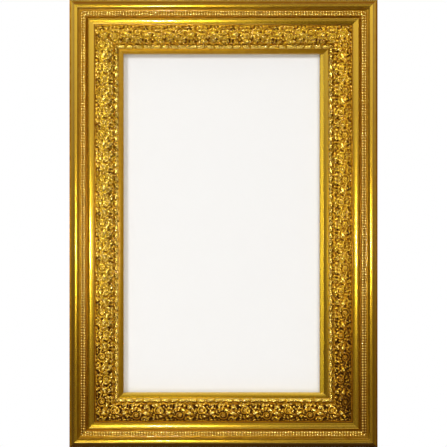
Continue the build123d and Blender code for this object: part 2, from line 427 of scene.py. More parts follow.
@dataclass(frozen=True)
class FrameSize:
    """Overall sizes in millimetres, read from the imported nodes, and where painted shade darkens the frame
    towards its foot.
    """

    width: float
    height: float
    wall_gap: float
    soil_start: float = 0.25
    soil_run: float = 0.6

    @classmethod
    def measured(cls) -> "FrameSize":
        """Reads the sizes from the stiles and rails."""
        left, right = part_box(Side.LEFT.rail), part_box(Side.RIGHT.rail)
        return cls((right[1].x - left[0].x) / MM, (left[1].z - left[0].z) / MM, -left[1].y / MM)

    def run(self, side: Side) -> float:
        """Length of a side over its outer edge."""
        return self.height if side.upright else self.width

    def reach(self, side: Side) -> float:
        """Distance of a side's outer edge from the frame's centre."""
        return (self.width if side.upright else self.height) / 2

    def place(self, side: Side, inward: np.ndarray, height: np.ndarray, along: np.ndarray) -> np.ndarray:
        """Turns places on a side into places on the frame.

        Args:
            side: The side.
            inward: Distances in from the outer edge, in millimetres.
            height: Heights above the moulding's back.
            along: Distances from the middle of the side.

        Returns:
            Rows of X, Y and Z in metres.
        """
        turn = math.radians(side.value)
        across = np.asarray(inward, float) - self.reach(side)
        along = np.asarray(along, float)
        right = across * math.cos(turn) + along * math.sin(turn)
        up = along * math.cos(turn) - across * math.sin(turn)
        depth = -np.asarray(height, float) - self.wall_gap
        return np.stack(np.broadcast_arrays(right, depth, up), axis=-1) * MM

    def mitred(self, side: Side, section: Sequence[Spot]) -> np.ndarray:
        """A section's points at the two mitres of a side.

        Args:
            side: The side.
            section: Places on the section: distance in from the outer edge, then height above the back.

        Returns:
            Two rings of X, Y and Z in metres.
        """
        inward, height = np.array(section).T
        ends = np.array([[-1.0], [1.0]]) * (self.run(side) / 2 - inward)
        return self.place(side, inward, height, ends)

    def soil(self, points: np.ndarray) -> np.ndarray:
        """Share of the painted shade at each point, standing for light that falls off downwards: none above
        the middle, all of it at the bottom rail.
        """
        down = -points[..., 2] / (self.height * MM / 2)
        return np.clip((down - self.soil_start) / self.soil_run, 0, 1)


def new_mesh(name: str, points: np.ndarray, faces: Sequence, smooth: float) -> bpy.types.Mesh:
    """Makes a mesh with its faces turned outwards.

    Args:
        name: The mesh's name.
        points: Rows of X, Y and Z.
        faces: Corner numbers of each face.
        smooth: Angle in degrees under which edges are shaded smooth, or 0 for flat faces.

    Returns:
        The mesh.
    """
    mesh = bpy.data.meshes.new(name)
    mesh.from_pydata(points.tolist(), [], faces)
    work = bmesh.new()
    work.from_mesh(mesh)
    bmesh.ops.recalc_face_normals(work, faces=work.faces)
    work.to_mesh(mesh)
    work.free()
    if smooth:
        mesh.shade_smooth()
        mesh.set_sharp_from_angle(angle=math.radians(smooth))
    return mesh


def lofted(name: str, rings: Sequence, smooth: float, closed: bool = False) -> bpy.types.Mesh:
    """A mesh through rings of points, with a cap on each end as its first two faces.

    Args:
        name: The mesh's name.
        rings: For each ring, rows of X, Y and Z.
        smooth: Angle in degrees under which edges are shaded smooth, or 0 for flat faces.
        closed: Whether the last ring meets the first, with no caps.

    Returns:
        The mesh.
    """
    rings = np.asarray(rings)
    number = np.arange(rings.shape[0] * rings.shape[1]).reshape(rings.shape[:2])
    ahead = np.roll(number, -1, axis=0)
    walls = np.stack([number, np.roll(number, -1, axis=1), np.roll(ahead, -1, axis=1), ahead], axis=-1)
    caps = [] if closed else number[[0, -1]].tolist()
    walls = walls if closed else walls[:-1]
    return new_mesh(name, rings.reshape(-1, 3), caps + walls.reshape(-1, 4).tolist(), smooth)


def turned(name: str, outline: Sequence[Spot], sides: int, smooth: float = 40.0) -> bpy.types.Mesh:
    """A turned shape about Y.

    Args:
        name: The mesh's name.
        outline: Radius and place along Y from end to end, in millimetres.
        sides: Number of sides.
        smooth: Angle in degrees under which edges are shaded smooth.

    Returns:
        The mesh, at the origin.
    """
    ring = np.array(arc((0.0, 0.0), (1.0, 1.0), 0, 360, sides)[:-1])
    rings = [np.insert(radius * ring, 1, place, axis=1) * MM for radius, place in outline]
    return lofted(name, rings, smooth)


def joined(name: str, meshes: Sequence[bpy.types.Mesh]) -> bpy.types.Mesh:
    """Puts several meshes into one, with their materials in order of first use.

    Args:
        name: The new mesh's name.
        meshes: The meshes, which are removed.

    Returns:
        The joined mesh.
    """
    materials = list(dict.fromkeys(material for mesh in meshes for material in mesh.materials))
    work = bmesh.new()
    for mesh in meshes:
        start = len(work.faces)
        numbers = [materials.index(material) for material in mesh.materials]
        work.from_mesh(mesh)
        work.faces.ensure_lookup_table()
        for face in work.faces[start:]:
            face.material_index = numbers[face.material_index]
    result = bpy.data.meshes.new(name)
    work.to_mesh(result)
    work.free()
    for material in materials:
        result.materials.append(material)
    for mesh in meshes:
        bpy.data.meshes.remove(mesh)
    return result


def tone(mesh: bpy.types.Mesh, values: np.ndarray) -> None:
    """Stores each point's tone: painted highlight down to -1, brown wash with painted shade from 0 to 1, then
    grime with painted shade up to 2.
    """
    layer = mesh.attributes.new(TONE_AND_SHADE, "FLOAT", "POINT")
    layer.data.foreach_set("value", np.asarray(values, dtype=np.float32).ravel())


def unroll(mesh: bpy.types.Mesh, across: np.ndarray, along: np.ndarray) -> None:
    """Gives a moulding a map that runs across its section in U and along it in V, in metres.

    Args:
        mesh: The moulding.
        across: Each point's distance round the section, in millimetres.
        along: Each point's distance from the middle of the moulding.
    """
    layer = mesh.uv_layers.new(name=UNROLLED)
    corners = np.array([loop.vertex_index for loop in mesh.loops])
    layer.data.foreach_set("uv", np.stack([across[corners], along[corners]], axis=-1).ravel() * MM)


def linked(name: str, data: bpy.types.ID) -> bpy.types.Object:
    """Makes an object in the scene.

    Args:
        name: The object's name.
        data: Its mesh, lamp or camera.

    Returns:
        The object.
    """
    made = bpy.data.objects.new(name, data)
    bpy.context.scene.collection.objects.link(made)
    return made


def settle(name: str, mesh: bpy.types.Mesh, body: str, slot: str, *nodes: str) -> None:
    """Sets a finished mesh on its body as a piece of the object.

    Args:
        name: The piece's name.
        mesh: Its mesh, in place.
        body: The body that it moves with.
        slot: The record's material slot; not used.
        nodes: Nodes that it stands for.
    """
    piece = linked(name, mesh)
    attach(piece, body)
    if nodes:
        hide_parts(*nodes)
    LOG.info("%s: %d faces on %s", name, len(mesh.polygons), body)


@dataclass
class Recipe:
    """A Geometry Nodes tree with named inputs."""

    name: str
    tree: bpy.types.NodeTree = field(init=False)
    ids: dict[str, str] = field(init=False, default_factory=dict)
    source: bpy.types.Node = field(init=False)

    def __post_init__(self) -> None:
        """Starts the tree with its geometry sockets."""
        self.tree = bpy.data.node_groups.new(self.name, "GeometryNodeTree")
        for way in ("INPUT", "OUTPUT"):
            self.tree.interface.new_socket("Geometry", in_out=way, socket_type="NodeSocketGeometry")

    def open(self, **inputs: str) -> bpy.types.NodeOutputs:
        """Adds the named inputs by socket kind, then the node that gives them.

        Args:
            inputs: Kind of socket by the input's name.

        Returns:
            The node's outputs.
        """
        for name, kind in inputs.items():
            made = self.tree.interface.new_socket(name, in_out="INPUT", socket_type=f"NodeSocket{kind}")
            self.ids[name] = made.identifier
        self.source = add(self.tree, "NodeGroupInput")
        return self.source.outputs

    def close(self, instances: bpy.types.Node) -> "Recipe":
        """Realizes instances, sets their material and ends the tree.

        Args:
            instances: The node that gives them.

        Returns:
            The recipe, ready to grow.
        """
        real = add(self.tree, "GeometryNodeRealizeInstances", links={"Geometry": instances})
        dressing = {"Geometry": real, "Material": self.source.outputs["Finish"]}
        dressed = add(self.tree, "GeometryNodeSetMaterial", links=dressing)
        add(self.tree, "NodeGroupOutput", links={0: dressed})
        return self

    def grow(self, points: Sequence = (), turns: Sequence[float] = (), **values: object) -> bpy.types.Mesh:
        """Runs the tree and keeps its result as a plain mesh.

        Args:
            points: Points that the tree starts from.
            turns: Angle about Y at each point, in radians.
            values: Values of the named inputs.

        Returns:
            The mesh.
        """
        seed = bpy.data.meshes.new(self.name)
        seed.from_pydata([tuple(point) for point in points], [], [])
        if len(points):
            seed.attributes.new(TURN, "FLOAT", "POINT").data.foreach_set("value", turns)
        carrier = linked(self.name, seed)
        modifier = carrier.modifiers.new(self.name, "NODES")
        modifier.node_group = self.tree
        for name, value in values.items():
            modifier[self.ids[name]] = value
        depsgraph = bpy.context.evaluated_depsgraph_get()
        depsgraph.update()
        mesh = bpy.data.meshes.new_from_object(carrier.evaluated_get(depsgraph), depsgraph=depsgraph)
        carrier.modifiers.remove(modifier)
        bpy.data.objects.remove(carrier)
        bpy.data.meshes.remove(seed)
        return mesh


def pearl_row_recipe() -> Recipe:
    """A straight row of round-topped pearls.

    Returns:
        The recipe, with inputs Count, Start, Step, Shape and Finish.
    """
    recipe = Recipe("pearl_row")
    given = recipe.open(Count="Int", Start="Vector", Step="Vector", Shape="Vector", Finish="Material")
    steps = {"Count": given["Count"], "Start Location": given["Start"], "Offset": given["Step"]}
    line = add(recipe.tree, "GeometryNodeMeshLine", links=steps)
    pearl = add(recipe.tree, "GeometryNodeMeshUVSphere", {"Segments": 10, "Rings": 6, "Radius": 1.0})
    smooth = add(recipe.tree, "GeometryNodeSetShadeSmooth", links={"Geometry": pearl})
    links = {"Points": line, "Instance": smooth, "Scale": given["Shape"]}
    return recipe.close(add(recipe.tree, "GeometryNodeInstanceOnPoints", links=links))


def fastener_recipe() -> Recipe:
    """One fastener set at each point, turned about Y by the angle that the point carries.

    Returns:
        The recipe, with inputs Shape and Finish.
    """
    recipe = Recipe("fasteners_at_points")
    given = recipe.open(Shape="Object", Finish="Material")
    shape = add(recipe.tree, "GeometryNodeObjectInfo", links={"Object": given["Shape"]}).outputs["Geometry"]
    angle = add(recipe.tree, "GeometryNodeInputNamedAttribute", {"data_type": "FLOAT", "Name": TURN})
    turn = add(recipe.tree, "ShaderNodeCombineXYZ", links={"Y": angle})
    links = {"Points": given["Geometry"], "Instance": shape, "Rotation": turn}
    return recipe.close(add(recipe.tree, "GeometryNodeInstanceOnPoints", links=links))


@dataclass
class Moulding:
    """The four mitred lengths of gilded moulding, as a cross-section in millimetres.

    Each spot is a place on the section: distance in from the outer edge, then height above the back. The
    washes are tones: in the recesses partly a toning and partly painted shade. Those of a side are for its
    outer flank, rounded edge, hollow and sight band, and paint light and shade by how the light falls on each
    side: painted shade darkest on the underside, and a painted highlight on the top edge.
    """

    size: FrameSize
    outer_edge: Spot = (0.0, 36.0)
    astragal_outer: Spot = (8.8, 44.4)
    astragal_crest: Spot = (11.6, 45.0)
    astragal_inner: Spot = (14.4, 44.4)
    cove_foot: Spot = (19.3, 34.0)
    bead_seat_outer: Spot = (19.3, 33.0)
    bead_seat_inner: Spot = (28.8, 33.0)
    bead_quirk: Spot = (28.8, 31.0)
    torus_outer: Spot = (31.8, 36.0)
    torus_crest: Spot = (36.2, 39.0)
    torus_inner: Spot = (43.0, 37.2)
    torus_quirk: Spot = (43.0, 30.5)
    frieze_outer: Spot = (45.2, 31.5)
    frieze_inner: Spot = (75.0, 27.0)
    groove: Spot = (75.0, 23.6)
    leaf_outer: Spot = (77.6, 24.6)
    leaf_inner: Spot = (85.2, 24.6)
    sight_quirk: Spot = (85.2, 23.1)
    sight_band: Spot = (86.5, 24.6)
    sight_edge: Spot = (93.6, 21.0)
    sight_bow: float = 0.45
    rebate_depth: float = 14.0
    rebate_wall: float = 83.6
    hollow_steps: int = 14
    edge_steps: int = 4
    cove_steps: int = 12
    smooth_angle: float = 38.0
    # Wash in the recesses: partly a toning, partly painted shade.
    cove_wash: float = 0.8
    seat_wash: float = 1.2
    quirk_wash: float = 1.1
    frieze_wash: float = 1.3
    bed_wash: float = 0.9
    back_wash: float = 0.3
    foot_wash: float = 0.5
    # Painted light and shade for each side's flank, edge, hollow and sight band: darkest on the underside, a
    # painted highlight on the top edge.
    side_washes: Mapping[Side, tuple[float, float, float, float]] = field(
        default_factory=lambda: {
            Side.LEFT: (0.7, 0.9, -0.1, 0.6),
            Side.TOP: (0.0, -0.5, 1.1, 0.7),
            Side.RIGHT: (0.7, 1.5, 0.4, 0.0),
            Side.BOTTOM: (2.0, 2.0, 1.9, 0.0),
        }
    )

    def section(self, side: Side) -> list[tuple[Spot, float]]:
        """The section from the outer side round to the rebate wall, each point with its wash and painted
        shade.

        Args:
            side: The side of the frame.

        Returns:
            Pairs of a point and its wash and painted shade; the last two are on bare wood.
        """
        flank, edge, dip, sight = self.side_washes[side]
        hollow = level_arc(self.outer_edge, self.astragal_outer, self.hollow_steps)
        cove = level_arc(self.cove_foot, self.astragal_inner, self.cove_steps)[::-1]
        beds = [self.frieze_inner, self.groove, (self.leaf_outer[0], self.groove[1]), self.leaf_outer]
        beds += [self.leaf_inner, self.sight_quirk, (self.sight_band[0], self.sight_quirk[1])]
        members = (
            ([(0.0, 0.0)], flank),
            (hollow[: self.edge_steps], edge),
            (hollow[self.edge_steps : -1], dip),
            (hump(self.astragal_outer, self.astragal_crest, self.astragal_inner), 0.0),
            (cove[1:], self.cove_wash),
            ([self.bead_seat_outer, self.bead_seat_inner], self.seat_wash),
            ([self.bead_quirk, (self.torus_outer[0], self.bead_quirk[1])], self.quirk_wash),
            (hump(self.torus_outer, self.torus_crest, self.torus_inner), 0.0),
            ([self.torus_quirk, (self.frieze_outer[0], self.torus_quirk[1])], self.cove_wash),
            ([self.frieze_outer], self.frieze_wash),
            (beds, self.bed_wash),
            (bowed(self.sight_band, self.sight_edge, self.sight_bow), sight),
            ([(self.sight_edge[0], self.rebate_depth)], self.cove_wash),
            ([(self.rebate_wall, self.rebate_depth), (self.rebate_wall, 0.0)], self.back_wash),
        )
        return [(spot, wash) for spots, wash in members for spot in spots]

    def build(self) -> None:
        """Builds and sets the four lengths, gilded in front and bare behind and at the mitres."""
        for side in Side:
            section, wash = zip(*self.section(side))
            count = len(section)
            rings = self.size.mitred(side, section)
            mesh = lofted(side.rail, rings, self.smooth_angle)
            mesh.materials.append(BURNISHED_LEAF.material())
            mesh.materials.append((STILE_PINE if side.upright else RAIL_PINE).material())
            # The two mitres, then the rebate's floor, its wall and the back.
            for number in (0, 1, *range(count - 1, count + 2)):
                mesh.polygons[number].material_index = 1
            inward, height = np.array(section).T
            # Painted shade that deepens towards the foot, in the quirk beside the torus.
            darkened = (inward >= self.torus_inner[0]) & (inward <= self.frieze_outer[0])
            tone(mesh, np.array(wash) + self.foot_wash * self.size.soil(rings) * darkened)
            girth = np.cumsum(np.hypot(np.diff(inward, prepend=0), np.diff(height, prepend=0)))
            half = self.size.run(side) / 2 - inward
            unroll(mesh, np.tile(girth, 2), np.concatenate([-half, half]))
            settle(f"gilded_{side.rail}", mesh, ROOT_BODY, "gilt_moulding", side.rail)


@dataclass
class PearlStrip:
    """A strip with two rows of pearls, small outside and large inside, in the seat beside the torus.

    A pearl's shape is its half sizes across, out from and along the strip, in millimetres.
    """

    size: FrameSize
    recipe: Recipe
    seat: float = 33.0
    start: float = 19.5
    end: float = 28.6
    pitch: float = 4.66
    bed: float = 2.9
    large_station: float = 25.9
    large_shape: Triple = (2.6, 1.6, 1.85)
    small_station: float = 21.4
    small_shape: Triple = (1.8, 1.2, 1.65)
    ridge_station: float = 23.35
    ridge: Spot = (0.5, 0.8)
    smooth_angle: float = 38.0
    bed_wash: float = 0.9
    wash_height: float = 0.5
    foot_wash: float = 0.7

    def bed_mesh(self, side: Side) -> bpy.types.Mesh:
        """The strip that the pearls stand on, with a fine ridge between the rows.

        Args:
            side: The side of the frame.

        Returns:
            The mesh.
        """
        top = self.seat + self.bed
        section = [
            (self.start, self.seat),
            (self.start, top),
            (self.ridge_station - self.ridge[0], top),
            (self.ridge_station, top + self.ridge[1]),
            (self.ridge_station + self.ridge[0], top),
            (self.end, top),
            (self.end, self.seat),
        ]
        mesh = lofted("pearl_bed", self.size.mitred(side, section), self.smooth_angle)
        mesh.materials.append(ORNAMENT_LEAF.material())
        return mesh

    def row(self, side: Side, station: float, shape: Triple) -> bpy.types.Mesh:
        """One row of pearls, an odd number of them between the mitres.

        Args:
            side: The side of the frame.
            station: The row's distance in from the outer edge.
            shape: A pearl's shape.

        Returns:
            The mesh, in place.
        """
        run = self.size.run(side) - 2 * station
        count = 2 * int((run / self.pitch - 1) / 2) + 1
        pitch = run / count
        start = (pitch - run) / 2
        first, second = self.size.place(side, station, self.seat + self.bed, [start, start + pitch])
        across, out, along = shape
        along *= pitch / self.pitch
        sizes = (across, out, along) if side.upright else (along, out, across)
        return self.recipe.grow(
            Count=count,
            Start=tuple(first),
            Step=tuple(second - first),
            Shape=tuple(size * MM for size in sizes),
            Finish=PEARL_LEAF.material(),
        )

    def build(self) -> None:
        """Builds and sets the four strips, with wash and painted shade round the feet of the pearls, and
        painted shade towards the foot on the stiles.
        """
        for side in Side:
            large = self.row(side, self.large_station, self.large_shape)
            small = self.row(side, self.small_station, self.small_shape)
            mesh = joined(f"pearl_strip_{side.word}", [self.bed_mesh(side), large, small])
            points = np.array([vertex.co for vertex in mesh.vertices])
            above = -points[:, 1] / MM - self.size.wall_gap - self.seat - self.bed
            # Wash and painted shade round the pearls' feet; on the stiles painted shade also deepens towards
            # the foot.
            wash = self.bed_wash * np.clip(1 - above / self.wash_height, 0, 1)
            tone(mesh, wash + (self.foot_wash * self.size.soil(points) if side.upright else 0))
            settle(mesh.name, mesh, ROOT_BODY, "gilt_ornament", f"bead_strip_{side.word}")


@dataclass
class PressingDie:
    """One repeat of a pressed ornament: heights over a strip's face, in millimetres.

    Along runs with the strip and wraps round at the repeat; across is 0 in the middle and grows towards the
    sight edge. A leaf's size is its length, full width and greatest height.
    """

    length: float
    width: float
    cell: float = 0.2
    along: np.ndarray = field(init=False)
    across: np.ndarray = field(init=False)
    heights: np.ndarray = field(init=False)

    def __post_init__(self) -> None:
        """Lays out the field and presses the motifs into it."""
        along = np.arange(round(self.length / self.cell)) * self.cell
        across = np.linspace(-self.width / 2, self.width / 2, round(self.width / self.cell) + 1)
        self.along, self.across = np.meshgrid(along, across, indexing="ij")
        self.heights = np.zeros_like(self.along)
        self.press()

    def press(self) -> None:
        """Presses the motifs; each die has its own."""
        raise NotImplementedError

    def raise_to(self, heights: np.ndarray) -> None:
        """Raises the field to a motif wherever the motif is higher."""
        np.maximum(self.heights, heights, out=self.heights)

    def offsets(self, spot: Spot) -> tuple[np.ndarray, np.ndarray]:
        """Distances of every cell from a place, along and across, the shorter way round."""
        half = self.length / 2
        return (self.along - spot[0] + half) % self.length - half, self.across - spot[1]

    def rib(self, path: Sequence[Spot], radii: Spot, height: float) -> None:
        """Presses a half-round stem along a path.

        Args:
            path: Close points along the stem.
            radii: Half widths at its start and end.
            height: Its height.
        """
        for number, spot in enumerate(path):
            radius = radii[0] + (radii[1] - radii[0]) * number / len(path)
            along, across = self.offsets(spot)
            self.raise_to(height * np.sqrt(np.clip(1 - (along**2 + across**2) / radius**2, 0, 1)))

    def leaf(self, foot: Spot, heading: float, size: Triple, lobes: int) -> None:
        """Presses a lobed leaf with a vein down its middle.

        Args:
            foot: Where the leaf starts.
            heading: Its direction in degrees.
            size: Its length, width and height.
            lobes: Number of lobes along each edge.
        """
        belly, fullness, notch, notch_width, squareness = 0.72, 0.7, 0.28, 3, 0.4
        foot_height, vein_depth, vein_width, rib_depth = 0.25, 0.25, 0.11, 0.12
        least, thinnest = 1e-4, 1e-3
        length, width, height = size
        along, across = self.offsets(foot)
        turn = math.radians(heading)
        ahead = (along * math.cos(turn) + across * math.sin(turn)) / length
        beside = across * math.cos(turn) - along * math.sin(turn)
        share = np.clip(ahead, least, 1 - least)
        outline = np.sin(math.pi * share**belly) ** fullness
        scallop = 1 - notch * np.abs(np.cos(math.pi * lobes * share)) ** notch_width
        half = np.maximum(width / 2 * outline * scallop, thinnest)
        body = np.clip(1 - (beside / half) ** 2, 0, 1) ** squareness
        swell = foot_height + (1 - foot_height) * share
        vein = vein_depth * np.exp(-((beside / (vein_width * width)) ** 2)) * (1 - share)
        wave = np.cos(2 * math.pi * (lobes * share - np.abs(beside) / width))
        ribs = rib_depth * wave * np.abs(beside) / half
        inside = (ahead > 0) & (ahead < 1)
        self.raise_to(np.where(inside, height * body * swell * (1 - vein + ribs), 0))

    def boss(self, spot: Spot, radius: float, height: float, petals: int = 0) -> None:
        """Presses a berry, or a small flower when it has petals.

        Args:
            spot: Its middle.
            radius: Its radius.
            height: Its height.
            petals: Number of petals, or 0 for a plain berry.
        """
        petal_cut, eye_depth, eye_reach, eye_width = 0.16, 0.4, 0.45, 0.16
        along, across = self.offsets(spot)
        reach = np.hypot(along, across)
        edge = radius * (1 + petal_cut * np.cos(petals * np.arctan2(across, along))) if petals else radius
        dome = height * np.sqrt(np.clip(1 - (reach / edge) ** 2, 0, 1))
        if petals:
            dip = np.exp(-(((reach - eye_reach * radius) / (eye_width * radius)) ** 2))
            dome = dome * (1 - eye_depth * dip)
        self.raise_to(dome)

    def sample(self, along: np.ndarray, across: np.ndarray) -> np.ndarray:
        """Reads the heights at any places, smoothly between the cells.

        Args:
            along: Places along the strip.
            across: Places across it.

        Returns:
            Heights of the same shape.
        """
        rows, columns = self.heights.shape
        first = along / self.length * rows
        second = np.clip((across + self.width / 2) / self.width, 0, 1) * (columns - 1)
        row, column = np.floor(first).astype(int), np.minimum(np.floor(second).astype(int), columns - 2)
        part, rest = first - row, second - column
        low, high = (
            self.heights[at % rows, column] * (1 - rest) + self.heights[at % rows, column + 1] * rest
            for at in (row, row + 1)
        )
        return low * (1 - part) + high * part


@dataclass
class ScrollDie(PressingDie):
    """A running acanthus scroll: a waving stem with volutes to each side in turn, over a bed of leaves.

    Places beside a volute are along the strip from its middle, then out from the strip's middle to its side.
    A rib is its half widths at both ends and its height. A lobe's length and width grow with its distance
    from the eye.
    """

    stem_points: int = 220
    stem_sway: float = 8.8
    stem_rib: Rib = ((1.9, 1.9), 1.7)
    sprigs: int = 12
    sprig_leans: Spot = (-38.0, 38.0)
    sprig_leaf: Triple = (8.5, 5.2, 2.8)
    bed_seed: int = 11
    bed_spacing: float = 6.6
    bed_leaf: Spot = (10.4, 6.6)
    bed_heights: Spot = (1.8, 3.3)
    bed_scales: Spot = (0.85, 1.2)
    bed_foot: float = 4.8
    bed_stray_along: float = 0.2
    bed_stray_across: float = 0.5
    bed_stray_turn: float = 25.0
    bed_swirl: float = 62.0
    eye: Spot = (1.0, 3.8)
    flower: tuple[float, float, int] = (3.6, 3.0, 5)
    curl_radius: float = 9.0
    curl_rate: float = 0.00225
    curl_turns: range = range(205, -296, -5)
    curl_rib: Rib = ((2.1, 1.5), 1.9)
    branch_corners: tuple[Spot, ...] = ((-25.0, 3.6), (-16.0, -4.0), (-4.3, -5.5), (-7.1, 0.0))
    branch_points: int = 40
    branch_rib: Rib = ((1.5, 1.9), 1.8)
    lobe_turns: range = range(158, -170, -32)
    lobe_gap: float = 0.9
    lobe_lean: float = 40.0
    lobe_growth: tuple[Spot, Spot] = ((2.0, 0.4), (1.7, 0.3))
    lobe_height: float = 2.9
    spray: tuple[tuple[Spot, float, Triple], ...] = (
        ((-29.0, 6.4), -32, (17.0, 7.0, 3.4)),
        ((-21.0, 3.0), 82, (9.5, 4.8, 2.9)),
        ((-18.0, 2.0), 48, (9.0, 4.8, 2.8)),
        ((10.0, -6.0), 26, (17.0, 6.4, 3.4)),
        ((13.0, -2.5), 72, (12.5, 5.4, 3.0)),
        ((18.0, -0.5), 95, (10.5, 5.0, 2.7)),
        ((-10.0, -8.0), -62, (6.0, 4.6, 2.6)),
        ((-3.0, -9.2), -80, (5.0, 4.4, 2.5)),
        ((4.0, -9.2), -100, (5.0, 4.4, 2.5)),
    )
    spray_lobes: int = 3
    berries: tuple[tuple[Spot, float], ...] = (
        ((20.5, 12.0), 1.6),
        ((23.6, 12.6), 1.3),
        ((-14.5, 12.2), 1.6),
        ((-17.6, 12.7), 1.3),
    )
    berry_height: float = 2.6

    def press(self) -> None:
        """Presses the leafy bed, the stem with its sprigs, then a volute to each side."""
        self.carpet()
        pace = 2 * math.pi / self.length
        wave = [self.length * step / self.stem_points for step in range(self.stem_points)]
        self.rib([(along, self.stem_sway * math.cos(pace * along)) for along in wave], *self.stem_rib)
        for number in range(self.sprigs):
            along = (number + 0.5) * self.length / self.sprigs
            slope = math.degrees(math.atan(-pace * self.stem_sway * math.sin(pace * along)))
            for lean in self.sprig_leans:
                foot = (along, self.stem_sway * math.cos(pace * along))
                self.leaf(foot, slope + lean, self.sprig_leaf, lobes=1)
        self.volute(0.0, -1)
        self.volute(self.length / 2, 1)

    def carpet(self) -> None:
        """Presses a bed of small leaves that swirl round the volutes and leave hardly any bare ground."""
        draw = np.random.default_rng(self.bed_seed)
        aside, askew, astray = self.bed_stray_along, self.bed_stray_across, self.bed_stray_turn
        columns, rows = round(self.length / self.bed_spacing), round(self.width / self.bed_spacing)
        for column in range(columns):
            for row in range(rows):
                along = (column + 0.5 * (row % 2) + draw.uniform(-aside, aside)) * self.length / columns
                across = ((row + 0.5) / rows - 0.5) * self.width + draw.uniform(-askew, askew)
                heading = self.flow(along, across) + draw.uniform(-astray, astray)
                scale = draw.uniform(*self.bed_scales)
                back, turn = self.bed_foot * scale, math.radians(heading)
                foot = (along - back * math.cos(turn), across - back * math.sin(turn))
                size = (self.bed_leaf[0] * scale, self.bed_leaf[1] * scale, draw.uniform(*self.bed_heights))
                self.leaf(foot, heading, size, lobes=1)

    def flow(self, along: float, across: float) -> float:
        """Direction in which the bed's leaves lie at a place: round the nearest eye.

        Args:
            along: The place along the strip.
            across: The place across it.

        Returns:
            An angle in degrees.
        """
        headings = {}
        for shift, way in ((0.0, -1), (self.length / 2, 1), (self.length, -1)):
            ahead, beside = along - shift - self.eye[0], across - way * self.eye[1]
            heading = math.degrees(math.atan2(beside, ahead)) - way * self.bed_swirl
            headings.setdefault(math.hypot(ahead, beside), heading)
        return headings[min(headings)]

    def curl(self, angle: float, gap: float = 0.0) -> Triple:
        """A place on a volute's curl, or a gap outside it.

        Args:
            angle: Turn about the eye, in degrees.
            gap: Distance out from the curl.

        Returns:
            The place along and out, and its distance from the eye.
        """
        reach = self.curl_radius * math.exp(-self.curl_rate * (self.curl_turns[0] - angle)) + gap
        turn = math.radians(angle)
        return (self.eye[0] + reach * math.cos(turn), self.eye[1] + reach * math.sin(turn), reach)

    def volute(self, shift: float, way: int) -> None:
        """Presses one volute with its branch, leaves, flower and berries.

        Args:
            shift: Its place along the strip.
            way: -1 to curl on the outer side, 1 on the inner side.
        """

        def at(along: float, out: float) -> Spot:
            """A place beside the volute."""
            return (shift + along, way * out)

        t = np.arange(self.branch_points)[:, None] / self.branch_points
        shares = np.hstack([(1 - t) ** 3, 3 * t * (1 - t) ** 2, 3 * t * t * (1 - t), t**3])
        self.rib([at(*spot) for spot in shares @ np.array(self.branch_corners)], *self.branch_rib)
        self.rib([at(*self.curl(angle)[:2]) for angle in self.curl_turns], *self.curl_rib)
        for angle in self.lobe_turns:
            *spot, reach = self.curl(angle, self.lobe_gap)
            length, width = (least + growth * reach for least, growth in self.lobe_growth)
            self.leaf(at(*spot), way * (angle - self.lobe_lean), (length, width, self.lobe_height), lobes=2)
        for spot, heading, size in self.spray:
            self.leaf(at(*spot), way * heading, size, self.spray_lobes)
        self.boss(at(*self.eye), *self.flower)
        for spot, radius in self.berries:
            self.boss(at(*spot), radius, self.berry_height)


@dataclass
class LeafDie(PressingDie):
    """A row of leaning leaf tips with a flower between each run.

    Each leaf is a step ahead, a place across, a lean in degrees and a size.
    """

    flower: tuple[float, float, int] = (3.4, 3.0, 6)
    berry: Spot = (2.2, 2.7)
    pairs: int = 2
    setback: float = 0.1
    leaves: tuple[tuple[float, float, float, Triple], ...] = (
        (0.0, 3.4, 62, (15.0, 6.4, 2.9)),
        (6.0, 4.2, 50, (8.0, 4.4, 2.3)),
    )

    def press(self) -> None:
        """Presses the leaves that lean away from the flower, then the flower and the meeting berry."""
        step = (self.length / 2 - self.flower[0]) / self.pairs
        for number in range(self.pairs):
            place = self.flower[0] + step * (number - self.setback)
            for way in (-1, 1):
                for ahead, across, lean, size in self.leaves:
                    self.leaf((way * (place + ahead), across), -90 + way * lean, size, lobes=1)
        self.boss((0.0, 0.0), *self.flower)
        self.boss((self.length / 2, 0.0), *self.berry)


